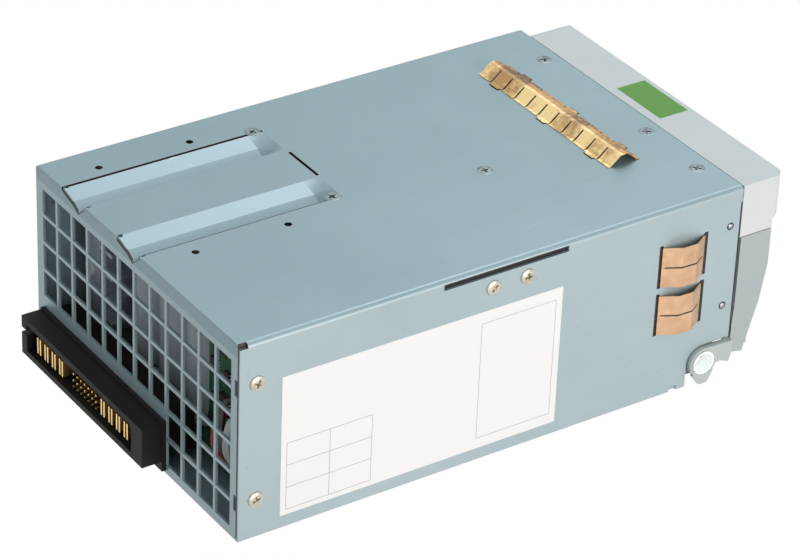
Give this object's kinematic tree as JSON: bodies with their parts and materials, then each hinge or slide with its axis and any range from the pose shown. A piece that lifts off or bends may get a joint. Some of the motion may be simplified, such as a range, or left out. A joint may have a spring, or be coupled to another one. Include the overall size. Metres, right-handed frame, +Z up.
{
  "type": "hot swap server power supply",
  "caption": "Steel-cased slide-in power supply with a swing-down ejector handle, a rear output connector, a vent grille, sprung grounding contacts and an internal fan.",
  "frame": {"origin": "centre of the underside of the case, on the surface it rests on", "axes": "+Z up; +Y towards the output connector, along the way it slides in; +X towards the side away from the rating label"},
  "size_m": [0.1358, 0.2236, 0.0777],
  "materials": {
    "bezel_plastic": "light grey moulding, fine texture",
    "black_moulding": "black glass-filled moulding",
    "board_green": "solder mask",
    "bronze_spring": "bare bronze spring strip",
    "cam_plastic": "light translucent nylon",
    "can_aluminium": "sleeved cans",
    "chip_black": "component bodies",
    "copper_spring": "bare copper alloy spring",
    "fan_plastic": "black fan plastic",
    "fastener_steel": "bright zinc-plated screws",
    "ferrite_black": "coated ferrite",
    "gold_contact": "gold-plated contact metal",
    "green_plastic": "green insert",
    "insulator_black": "insulating film",
    "label_film": "white label film, bare",
    "light_guide": "clear light guide",
    "nylon_white": "natural nylon screws",
    "red_tape": "red winding tape",
    "sink_aluminium": "extruded aluminium",
    "wire_chrome": "plated wire",
    "zinc_plated_steel": "zinc-plated sheet steel, fine matt grain"
  },
  "bodies": {
    "chassis": {"ac_inlet": "black_moulding", "base_tray": "zinc_plated_steel", "board_screws": "fastener_steel", "board_standoffs": "fastener_steel", "boost_choke": "ferrite_black", "bulk_capacitors": "can_aluminium", "connector_housing": "black_moulding", "control_board": "board_green", "control_chips": "chip_black", "cover_screws": "fastener_steel", "fan_frame": "fan_plastic", "fan_guard": "wire_chrome", "fan_screws": "fastener_steel", "filter_capacitors": "green_plastic", "front_panel": "zinc_plated_steel", "fuse_holder": "black_moulding", "grounding_strip": "bronze_spring", "heat_sink_screws": "nylon_white", "inlet_pins": "fastener_steel", "insulator_sheet": "insulator_black", "main_board": "board_green", "output_capacitors": "can_aluminium", "output_choke": "ferrite_black", "output_heat_sink": "sink_aluminium", "pivot_bracket_left": "zinc_plated_steel", "pivot_bracket_right": "zinc_plated_steel", "pivot_bush_left": "cam_plastic", "pivot_bush_right": "cam_plastic", "power_blades": "gold_contact", "primary_heat_sink": "sink_aluminium", "rating_label": "label_film", "rear_grille": "zinc_plated_steel", "rectifier": "chip_black", "side_contact_lower": "copper_spring", "side_contact_upper": "copper_spring", "side_rivets": "fastener_steel", "side_screws": "fastener_steel", "signal_pins": "gold_contact", "status_lights": "light_guide", "top_cover": "zinc_plated_steel", "transformer_core": "ferrite_black", "transformer_winding": "red_tape"},
    "handle": {"ejector_cam_left": "cam_plastic", "ejector_cam_right": "cam_plastic", "grip_screws": "fastener_steel", "handle_arm_left": "zinc_plated_steel", "handle_arm_right": "zinc_plated_steel", "handle_grip": "bezel_plastic", "touch_marker": "green_plastic"},
    "fan_rotor": {"fan_rotor": "fan_plastic"}
  },
  "joints": [
    {"name": "handle_swing", "type": "hinge", "parent": "chassis", "child": "handle", "pos_m": [0, -0.0866, 0.0087], "axis": [1, 0, 0], "range_deg": [0, 80]},
    {"name": "fan_spin", "type": "hinge", "parent": "chassis", "child": "fan_rotor", "pos_m": [-0.0305, -0.083, 0.0365], "axis": [0, 1, 0], "continuous": true}
  ]
}
